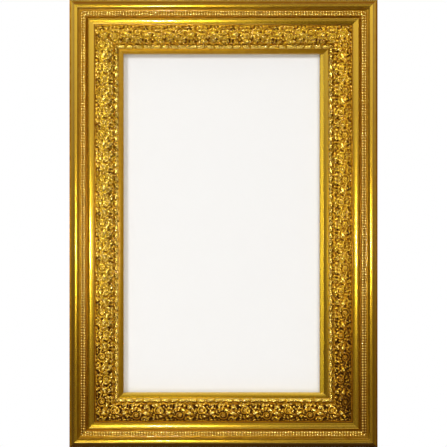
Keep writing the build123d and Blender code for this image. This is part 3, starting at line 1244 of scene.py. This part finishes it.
@dataclass
class PressedStrips:
    """Pressed strips of one pattern on the four sides, laid over a rounded ground.

    The tips beside one edge lean out over the groove there. Wash, partly a toning and partly painted shade in
    the hollows, fills the relief up to a height that changes from side to side and across the strip, which
    paints light and shade by how the light falls there. Painted shade deepens it towards the foot, and what
    stands above it takes a painted highlight.
    """

    size: FrameSize
    die: PressingDie
    stem: str
    outer: Spot
    inner: Spot
    edge: float
    crown: float
    sink: float
    lift: float
    repeats: Mapping[Side, float]
    deepest_wash: float = 2.0
    clean_height: float = 2.35
    foot_soil: float = 1.6
    cell: float = 0.6
    fringe: float = 1.7
    fringed_edge: int = 1
    fringe_row: int = 3
    fringe_bend: int = 6
    mitre_run: float = 8.0
    edge_fade: float = 1.6
    edge_wash: float = 0.4
    base_wash: float = 1.0
    wash_gain: float = 1.15
    soil_rise: float = 0.07
    # Painted light across the strip: the wash line lies higher or lower across it, by how the light falls
    # there.
    slope_across: Spot = (0.1, -0.28)
    # Lowest tone, at which the tops of the relief take the full painted highlight.
    most_burnish: float = -0.5
    smooth_angle: float = 75.0
    # Painted light by side: each side's wash line is scaled, lower where the side is painted lighter, higher
    # where it is painted darker.
    dirt: Mapping[Side, float] = field(
        default_factory=lambda: {Side.LEFT: 0.82, Side.TOP: 0.95, Side.RIGHT: 1.04, Side.BOTTOM: 0.85}
    )

    def chord(self, share: np.ndarray) -> np.ndarray:
        """Height of the strip's seat at shares of its width."""
        return self.outer[1] + (self.inner[1] - self.outer[1]) * share

    def overhang(self, relief: np.ndarray, share: np.ndarray) -> np.ndarray:
        """How far the ornament's tips reach out over the groove, less and less towards the mitres.

        Args:
            relief: Heights of the ornament, in rows along the strip.
            share: Each column's share of the strip's width.

        Returns:
            Shifts across the strip, in millimetres.
        """
        inner = self.fringed_edge > 0
        row = -1 - self.fringe_row if inner else self.fringe_row
        tips = np.clip(relief[:, row] / self.clean_height, 0, 1)
        steps = np.arange(len(relief))
        tips *= np.clip(np.minimum(steps, steps[::-1]) * self.cell / self.mitre_run, 0, 1)
        near = share if inner else 1 - share
        return self.fringed_edge * self.fringe * near**self.fringe_bend * tips[:, None]

    def build(self) -> None:
        """Builds and sets the four strips."""
        width = self.inner[0] - self.outer[0]
        share = np.linspace(0, 1, round(width / self.cell) + 1)
        inward = self.outer[0] + width * share
        fade = np.clip(np.minimum(share, 1 - share) * width / self.edge_fade, 0, 1)
        seat = self.chord(share)
        ground = seat + self.edge + 4 * self.crown * share * (1 - share) - self.sink * fade
        slope = 1.0 + self.slope_across[0] * share + self.slope_across[1] * share**2
        for side in Side:
            run = self.size.run(side)
            middle = run - self.outer[0] - self.inner[0]
            along = np.linspace(-1, 1, round(middle / self.cell) + 1)[:, None] * (run / 2 - inward)
            repeat = middle / self.repeats[side]
            across = np.broadcast_to((share - 0.5) * width, along.shape)
            relief = self.die.sample(along / repeat * self.die.length, across)
            spread = inward + self.overhang(relief, share)
            top = self.size.place(side, spread, ground + relief * fade * self.lift, along)
            base = self.size.place(side, inward, seat, along)
            node = f"{self.stem}_{side.word}"
            rings = np.concatenate([base[:, :1], top, base[:, -1:]], axis=1)
            mesh = lofted(f"pressed_{node}", rings, self.smooth_angle)
            mesh.materials.append(ORNAMENT_LEAF.material())
            # Painted shade deepens the wash towards the foot; relief above the wash line takes a painted
            # highlight.
            soil = self.foot_soil * self.size.soil(top)
            bare_level = self.clean_height * (self.dirt[side] + self.soil_rise * soil) * slope
            depth = np.clip((1 - relief / bare_level) * (self.wash_gain + soil), self.most_burnish, 1)
            wash = self.deepest_wash * depth * (self.edge_wash + (1 - self.edge_wash) * fade)
            tone(mesh, np.pad(wash, ((0, 0), (1, 1)), constant_values=self.base_wash))
            settle(mesh.name, mesh, ROOT_BODY, "gilt_ornament", node)


@dataclass
class RebateFill:
    """The glass and the boards in the rebate, each a hair thinner than its solid so that its face shows."""

    hair: float = 0.08
    arris: float = 0.25
    sheets: tuple[tuple[str, str, Finish], ...] = (
        ("glass_pane", "glazing", CLEAR_GLASS),
        ("white_mount_sheet", "mount_board", MOUNT_PAPER),
        ("hardboard_back", "backing_board", HARDBOARD),
    )

    def build(self) -> None:
        """Builds and sets the three sheets."""
        thin = Vector((0.0, self.hair * MM, 0.0))
        rounding = {"offset": self.arris * MM, "segments": 2, "profile": 0.5, "affect": "EDGES"}
        for name, node, finish in self.sheets:
            low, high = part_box(node)
            size, middle = high - low - 2 * thin, (high + low) / 2
            work = bmesh.new()
            place = Matrix.Translation(middle) @ Matrix.Diagonal((*size, 1.0))
            bmesh.ops.create_cube(work, size=1.0, matrix=place)
            bmesh.ops.bevel(work, geom=work.edges[:], **rounding)
            mesh = bpy.data.meshes.new(name)
            work.to_mesh(mesh)
            work.free()
            mesh.materials.append(finish.material())
            settle(name, mesh, ROOT_BODY, node, node)


@dataclass
class Fasteners:
    """One kind of small fastener, made once and set at its points by nodes."""

    recipe: Recipe
    shape: bpy.types.Mesh
    finish: Finish

    def build(self, name: str, points: Sequence, turns: Sequence[float], slot: str, *nodes: str) -> None:
        """Sets the fasteners as one piece on the frame.

        Args:
            name: The piece's name.
            points: Where each stands, in metres.
            turns: Angle of each about Y, in radians.
            slot: The record's material slot.
            nodes: Nodes that they stand for.
        """
        holder = linked(f"{name}_shape", self.shape)
        mesh = self.recipe.grow(points, turns, Shape=holder, Finish=self.finish.material())
        bpy.data.objects.remove(holder)
        settle(name, mesh, ROOT_BODY, slot, *nodes)


def cross_head_screw() -> bpy.types.Mesh:
    """A domed screw head with a cross recess, standing on its seat and facing the wall.

    Returns:
        The mesh, at the origin.
    """
    rim, height, shoulder, chamfer, sides = 3.2, 1.9, 0.7, 0.25, 24
    arm, slot, depth, recess_foot, shallowing = 2.0, 0.45, 1.1, 0.75, 0.35
    dome_start, dome_sweep, dome_steps = math.degrees(0.15), math.degrees(1.3), 6
    dome = arc((0.0, shoulder), (rim, height - shoulder), dome_start, dome_sweep, dome_steps)
    mesh = turned("screw_head", [(rim - chamfer, 0.0), (rim, chamfer), *dome], sides)
    work = bmesh.new()
    work.from_mesh(mesh)
    for axis in (Vector((1, 0, 0)), Vector((0, 0, 1))):
        for place in (-arm, -slot, slot, arm):
            everything = work.verts[:] + work.edges[:] + work.faces[:]
            bmesh.ops.bisect_plane(work, geom=everything, plane_co=axis * place * MM, plane_no=axis)
    recess = []
    for face in work.faces:
        middle = face.calc_center_median() / MM
        near, far = sorted((abs(middle.x), abs(middle.z)))
        if middle.y > recess_foot and near < slot and far < arm:
            recess.append(face)
    sunk = bmesh.ops.extrude_face_region(work, geom=recess)["geom"]
    bmesh.ops.delete(work, geom=[face for face in recess if face.is_valid], context="FACES_ONLY")
    for vertex in (item for item in sunk if isinstance(item, bmesh.types.BMVert)):
        taper = 1 - shallowing * math.hypot(vertex.co.x, vertex.co.z) / (arm * MM)
        vertex.co.y -= depth * taper * MM
    bmesh.ops.recalc_face_normals(work, faces=work.faces)
    work.to_mesh(mesh)
    work.free()
    return mesh


@dataclass
class TurnButtons:
    """Stamped brass plates that swing over the backing board, each on a screw beside the rebate.

    A layer is a distance in from the plate's edge and a height above the plate's underside.
    """

    size: FrameSize
    screws: Fasteners
    station: float = 75.6
    spread: float = 216.0
    lift: float = 0.2
    tail: float = 5.0
    reach: float = 24.0
    width: float = 10.0
    corner: float = 3.0
    least_corner: float = 0.3
    corner_steps: int = 6
    head_seat: float = 1.5
    smooth_angle: float = 35.0
    screw_seed: int = 5
    layers: tuple[Spot, ...] = (
        (0.25, 0.0),
        (0.0, 0.2),
        (0.0, 0.6),
        (0.25, 0.85),
        (2.0, 0.85),
        (2.3, 0.95),
        (2.6, 1.15),
        (2.9, 1.2),
    )

    def places(self) -> list[tuple[str, Side, float]]:
        """Lists the buttons: two on each stile and one on each rail.

        Returns:
            Name, side and place along the side of each.
        """
        uprights = [
            (f"{side.word}_{level}", side, way * self.spread * (1 if side is Side.LEFT else -1))
            for side in (Side.LEFT, Side.RIGHT)
            for level, way in (("upper", 1), ("lower", -1))
        ]
        return uprights + [(side.word, side, 0.0) for side in (Side.TOP, Side.BOTTOM)]

    def outline(self, inset: float) -> np.ndarray:
        """The plate's rounded outline, drawn in by an inset.

        Args:
            inset: Distance in from the edge.

        Returns:
            Distances from the pivot towards the board, and along the side.
        """
        radius = max(self.corner - inset, self.least_corner)
        back, front = inset - self.tail + radius, self.reach - inset - radius
        beside = self.width / 2 - inset - radius
        middles = ((front, beside), (back, beside), (back, -beside), (front, -beside))
        spots = []
        for quarter, middle in enumerate(middles):
            spots += arc(middle, (radius, radius), 90 * quarter, 90, self.corner_steps)
        return np.array(spots).T

    def build(self) -> None:
        """Builds and sets the buttons and their screws."""
        seats = []
        for name, side, along in self.places():
            rings = []
            for inset, height in self.layers:
                ahead, beside = self.outline(inset)
                rings.append(self.size.place(side, self.station + ahead, -self.lift - height, along + beside))
            mesh = lofted(f"stamped_button_{name}", rings, self.smooth_angle)
            mesh.materials.append(SATIN_BRASS.material())
            settle(mesh.name, mesh, f"turn_button_{name}", "brass_plate", f"turn_button_{name}")
            seats.append(self.size.place(side, self.station, -self.head_seat, along))
        turns = np.random.default_rng(self.screw_seed).uniform(0, math.pi, len(seats))
        self.screws.build("pivot_screw_heads", seats, turns, "zinc_steel", "turn_button_screws")


@dataclass
class Hangers:
    """Wire D-rings in their straps, and the screws that hold the straps."""

    size: FrameSize
    screws: Fasteners
    loop_station: float = 66.0
    loop_height: float = -2.58
    up: float = 130.5
    wire: float = 1.3
    wire_sides: int = 14
    half_width: float = 8.8
    leg: float = 5.0
    bend: float = 1.6
    bow_steps: int = 24
    bend_steps: int = 6
    strap_back: float = -1.2
    hole_distances: Spot = (27.0, 13.0)
    smooth_angle: float = 60.0
    screw_seed: int = 8

    def ring_mesh(self, side: Side, along: float) -> bpy.types.Mesh:
        """A closed ring of round wire: a bow, then a straight bar between two bends.

        Args:
            side: The stile that carries it.
            along: Place of its middle along the stile.

        Returns:
            The mesh, in place.
        """
        path = arc((self.leg, 0.0), (self.half_width, self.half_width), 90, -180, self.bow_steps)
        for start, way in ((-90, -1), (180, 1)):
            middle = (self.bend, way * (self.half_width - self.bend))
            path += arc(middle, (self.bend, self.bend), start, -90, self.bend_steps)
        path = np.array(path)
        ahead = np.roll(path, -1, axis=0) - np.roll(path, 1, axis=0)
        ahead /= np.linalg.norm(ahead, axis=1)[:, None]
        beside = np.stack([ahead[:, 1], -ahead[:, 0]], axis=-1)
        angles = np.arange(self.wire_sides) * 2 * math.pi / self.wire_sides
        spots = path[:, None] + self.wire * np.cos(angles)[None, :, None] * beside[:, None]
        inward, height = self.loop_station + spots[..., 0], self.loop_height + self.wire * np.sin(angles)
        rings = self.size.place(side, inward, height, along + spots[..., 1])
        return lofted(f"wire_d_ring_{side.word}", rings, self.smooth_angle, closed=True)

    def build(self) -> None:
        """Builds and sets the rings and the strap screws."""
        seats = []
        for side, along in ((Side.LEFT, self.up), (Side.RIGHT, -self.up)):
            mesh = self.ring_mesh(side, along)
            mesh.materials.append(ZINC_STEEL.material())
            settle(mesh.name, mesh, f"d_ring_{side.word}", "zinc_steel", f"d_ring_{side.word}")
            for distance in self.hole_distances:
                seats.append(self.size.place(side, self.loop_station - distance, self.strap_back, along))
        turns = np.random.default_rng(self.screw_seed).uniform(0, math.pi, len(seats))
        self.screws.build("strap_screw_heads", seats, turns, "zinc_steel")


@dataclass
class MitreNails:
    """Bent steel wedges driven across each mitre from the back."""

    size: FrameSize
    recipe: Recipe
    stations: Spot = (24.0, 58.0)
    arm: float = 7.0
    thickness: float = 0.7
    depth: float = 6.0
    proud: float = 0.12
    lip: float = 0.1

    def shape(self) -> bpy.types.Mesh:
        """A wedge bent to a right angle, open towards X, with its back face at the origin's plane.

        Returns:
            The mesh.
        """
        long, thick = self.arm, self.thickness
        outline = [(0, 0), (long, long), (long - thick, long + thick), (-2 * thick, 0)]
        outline += [(long - thick, -long - thick), (long, -long)]
        levels = (-self.depth, self.proud - self.lip, self.proud)
        rings = np.array([[(x - long / 2, y, z) for x, z in outline] for y in levels])
        return lofted("mitre_nail", rings * MM, 0.0)

    def build(self) -> None:
        """Sets two wedges across each of the four mitres."""
        points, turns = [], []
        for across in (-1, 1):
            for up in (-1, 1):
                for station in self.stations:
                    x, z = across * (self.size.width / 2 - station), up * (self.size.height / 2 - station)
                    points.append(np.array([x, -self.size.wall_gap, z]) * MM)
                    turns.append(math.atan2(up, -across))
        Fasteners(self.recipe, self.shape(), ZINC_STEEL).build("mitre_nails", points, turns, "zinc_steel")


@dataclass
class Bumpers:
    """Moulded rubber pads that keep the lower corners off the wall."""

    size: FrameSize
    recipe: Recipe
    inset: float = 16.0
    radius: float = 6.0
    chamfer: float = 0.3
    collar: float = 1.2
    step: float = 0.3
    rounding: Spot = (1.9, 2.6)
    rounding_steps: int = 7
    sides: int = 32

    def build(self) -> None:
        """Builds and sets the two pads."""
        deep = self.size.wall_gap
        outline = [(self.radius - self.chamfer, 0.0), (self.radius, self.chamfer), (self.radius, self.collar)]
        middle = (self.radius - self.step - self.rounding[0], deep - self.rounding[1])
        outline += arc(middle, self.rounding, 0, 90, self.rounding_steps)
        across, down = self.size.width / 2 - self.inset, self.inset - self.size.height / 2
        points = [np.array([x, -deep, down]) * MM for x in (-across, across)]
        pads = Fasteners(self.recipe, turned("rubber_pad", outline, self.sides), RUBBER)
        pads.build("rubber_bumpers", points, [0.0, 0.0], "bumper_rubber", "wall_bumpers")


@dataclass(frozen=True)
class Softbox:
    """A lamp with a flat rectangular face, in metres."""

    name: str
    place: Triple
    aim: Triple
    face: Spot
    radiance: float
    tint: str = "#FFFFFF"

    def build(self) -> None:
        """Sets up the lamp so that its face has the radiance given."""
        lamp = bpy.data.lights.new(self.name, "AREA")
        lamp.shape = "RECTANGLE"
        lamp.size, lamp.size_y = self.face
        lamp.energy = self.radiance * math.pi * self.face[0] * self.face[1]
        lamp.color = linear(self.tint)[:3]
        holder = linked(self.name, lamp)
        holder.location = self.place
        holder.rotation_euler = (Vector(self.aim) - Vector(self.place)).to_track_quat("-Z", "Y").to_euler()


FILL_FACE = (0.75, 0.75)
FILL_TINT = "#F6FAFF"
CENTRE = (0.0, 0.0, 0.0)


@dataclass
class Studio:
    """Camera, lamps, floor and surroundings, in metres.

    The room is a list of colours by how high a direction looks, from -1 straight down to 1 straight up.
    """

    size: FrameSize
    distance: float = 3.2
    front_edge: float = -0.035
    sensor: float = 36.0
    floor_drop: float = 1.45
    floor_radius: float = 1.1
    floor_sides: int = 96
    room: tuple[tuple[float, str], ...] = (
        (-1.0, "#4E4338"),
        (-0.3, "#5A4A3A"),
        (-0.06, "#5A4A3A"),
        (0.02, "#988C7E"),
        (0.12, "#E6E0D6"),
        (0.22, "#A09A92"),
        (0.36, "#605244"),
        (0.7, "#605244"),
        (0.85, "#FCF7EE"),
        (1.0, "#FCF7EE"),
    )
    side_range: Spot = (-0.95, -0.2)
    side_dimness: float = 0.8
    left_right_range: Spot = (-0.6, 0.6)
    left_right: Spot = (1.05, 1.4)
    wall_range: Spot = (0.4, 0.7)
    wall: str = "#FFFFFF"
    lamps: tuple[Softbox, ...] = (
        Softbox("flash_beside_camera", (-0.216, -3.2, -0.076), (0, 0, -0.02), (0.1, 0.14), 300.0),
        Softbox("fill_upper_left", (-1.61, -2.9, 1.45), CENTRE, FILL_FACE, 25.0, FILL_TINT),
        Softbox("fill_upper_right", (1.61, -2.9, 1.45), CENTRE, FILL_FACE, 15.0, FILL_TINT),
        Softbox("fill_lower_left", (-1.61, -2.9, -1.45), CENTRE, FILL_FACE, 7.5, FILL_TINT),
        Softbox("fill_lower_right", (1.61, -2.9, -1.45), CENTRE, FILL_FACE, 4.0, FILL_TINT),
        Softbox("strip_right_of_camera", (1.9, -2.9, -0.06), CENTRE, (0.8, 0.3), 1.8),
        Softbox("strip_under_camera", (-0.5, -2.9, -1.9), CENTRE, (0.3, 0.8), 3.0),
        Softbox("strip_below_front", (-0.4, -1.15, -0.9), (-0.2, 0, 0.2), (1.1, 0.4), 0.6),
    )

    def build(self) -> None:
        """Builds the whole set."""
        self.camera()
        self.surroundings()
        self.floor()
        for lamp in self.lamps:
            lamp.build()
        bpy.context.scene.view_settings.view_transform = "Standard"

    def camera(self) -> None:
        """Sets a long lens square to the frame, so that its height just fills the picture."""
        data = bpy.data.cameras.new("front_camera")
        holder = linked("front_camera", data)
        holder.location = (0.0, self.front_edge - self.distance, 0.0)
        holder.rotation_euler = (math.pi / 2, 0, 0)
        data.sensor_width = self.sensor
        data.lens = self.sensor * self.distance / (self.size.height * MM)
        bpy.context.scene.camera = holder

    def surroundings(self) -> None:
        """A dim warm room with a pale band at eye level, a bright ceiling and a white wall behind."""
        world = bpy.data.worlds.new("studio_room")
        bpy.context.scene.world = world
        world.use_nodes = True
        tree = world.node_tree
        tree.nodes.clear()
        way = add(tree, "ShaderNodeTexCoord").outputs["Generated"]
        right, ahead, up = add(tree, "ShaderNodeSeparateXYZ", links={"Vector": way}).outputs
        spans = (
            ("LINEAR", up, -1.0, 1.0, 0.0, 1.0),
            ("LINEAR", ahead, *self.side_range, 1.0, self.side_dimness),
            ("LINEAR", right, *self.left_right_range, *self.left_right),
            ("SMOOTHSTEP", ahead, *self.wall_range, 0.0, 1.0),
        )
        height, facing, rightward, behind = (
            add(
                tree,
                "ShaderNodeMapRange",
                {"interpolation_type": blend, **dict(zip(RANGE, span))},
                {"Value": source},
            )
            for blend, source, *span in spans
        )
        colours = add(tree, "ShaderNodeValToRGB", links={"Fac": height})
        ramp = colours.color_ramp
        ramp.elements.remove(ramp.elements[1])
        for place, colour in self.room:
            stop = ramp.elements.new((place + 1) / 2)
            stop.color = linear(colour)
        ramp.elements.remove(ramp.elements[0])
        strength = add(tree, "ShaderNodeMath", {"operation": "MULTIPLY"}, {0: facing, 1: rightward})
        room = add(tree, "ShaderNodeVectorMath", {"operation": "SCALE"}, {0: colours, "Scale": strength})
        wall = {"data_type": "RGBA", OVER: linear(self.wall)}
        seen = add(tree, "ShaderNodeMix", wall, {SHARE: behind, UNDER: room})
        glow = add(tree, "ShaderNodeBackground", links={"Color": seen})
        add(tree, "ShaderNodeOutputWorld", links={"Surface": glow})

    def floor(self) -> None:
        """A pale disc well below the frame, which hangs at picture height."""
        ring = arc((0.0, 0.0), (self.floor_radius, self.floor_radius), 0, 360, self.floor_sides)[:-1]
        mesh = bpy.data.meshes.new("pale_floor")
        mesh.from_pydata([(x, y, -self.floor_drop) for x, y in ring], [], [tuple(range(self.floor_sides))])
        mesh.materials.append(FLOOR_PAINT.material())
        disc = linked("pale_floor", mesh)


def dress_nodes() -> None:
    """Gives the solids that stay their finishes."""
    finishes: dict[str, Finish] = {"hanger_strap_left": ZINC_STEEL, "hanger_strap_right": ZINC_STEEL}
    finishes.update({f"slip_{side.word}": SLIP_LEAF for side in Side})
    for name, finish in finishes.items():
        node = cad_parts[name]
        node.data.materials.clear()
        node.data.materials.append(finish.material())
        LOG.info("%s: %s", name, finish.name)


def main() -> None:
    """Builds the object's pieces in order, then the studio round it."""
    logging.basicConfig(level=logging.INFO, format="%(name)s %(message)s")
    size = FrameSize.measured()
    dress_nodes()
    moulding = Moulding(size)
    moulding.build()
    PearlStrip(size, pearl_row_recipe()).build()
    PressedStrips(
        size,
        ScrollDie(length=78.0, width=moulding.frieze_inner[0] - moulding.frieze_outer[0]),
        "frieze",
        moulding.frieze_outer,
        moulding.frieze_inner,
        edge=1.2,
        crown=4.0,
        sink=2.4,
        lift=1.35,
        repeats={Side.LEFT: 8.5, Side.RIGHT: 8.5, Side.TOP: 5.5, Side.BOTTOM: 5.5},
    ).build()
    PressedStrips(
        size,
        LeafDie(length=59.0, width=moulding.leaf_inner[0] - moulding.leaf_outer[0]),
        "leaf_strip",
        moulding.leaf_outer,
        moulding.leaf_inner,
        edge=1.0,
        crown=3.0,
        sink=1.8,
        lift=1.3,
        repeats={Side.LEFT: 11, Side.RIGHT: 11, Side.TOP: 6, Side.BOTTOM: 6},
        deepest_wash=0.7,
        clean_height=1.0,
        foot_soil=0.0,
        cell=0.5,
        fringe=1.0,
        fringed_edge=-1,
    ).build()
    RebateFill().build()
    fasteners = fastener_recipe()
    screws = Fasteners(fasteners, cross_head_screw(), ZINC_STEEL)
    TurnButtons(size, screws).build()
    Hangers(size, screws).build()
    MitreNails(size, fasteners).build()
    Bumpers(size, fasteners).build()
    Studio(size).build()


if __name__ == "__main__":
    main()
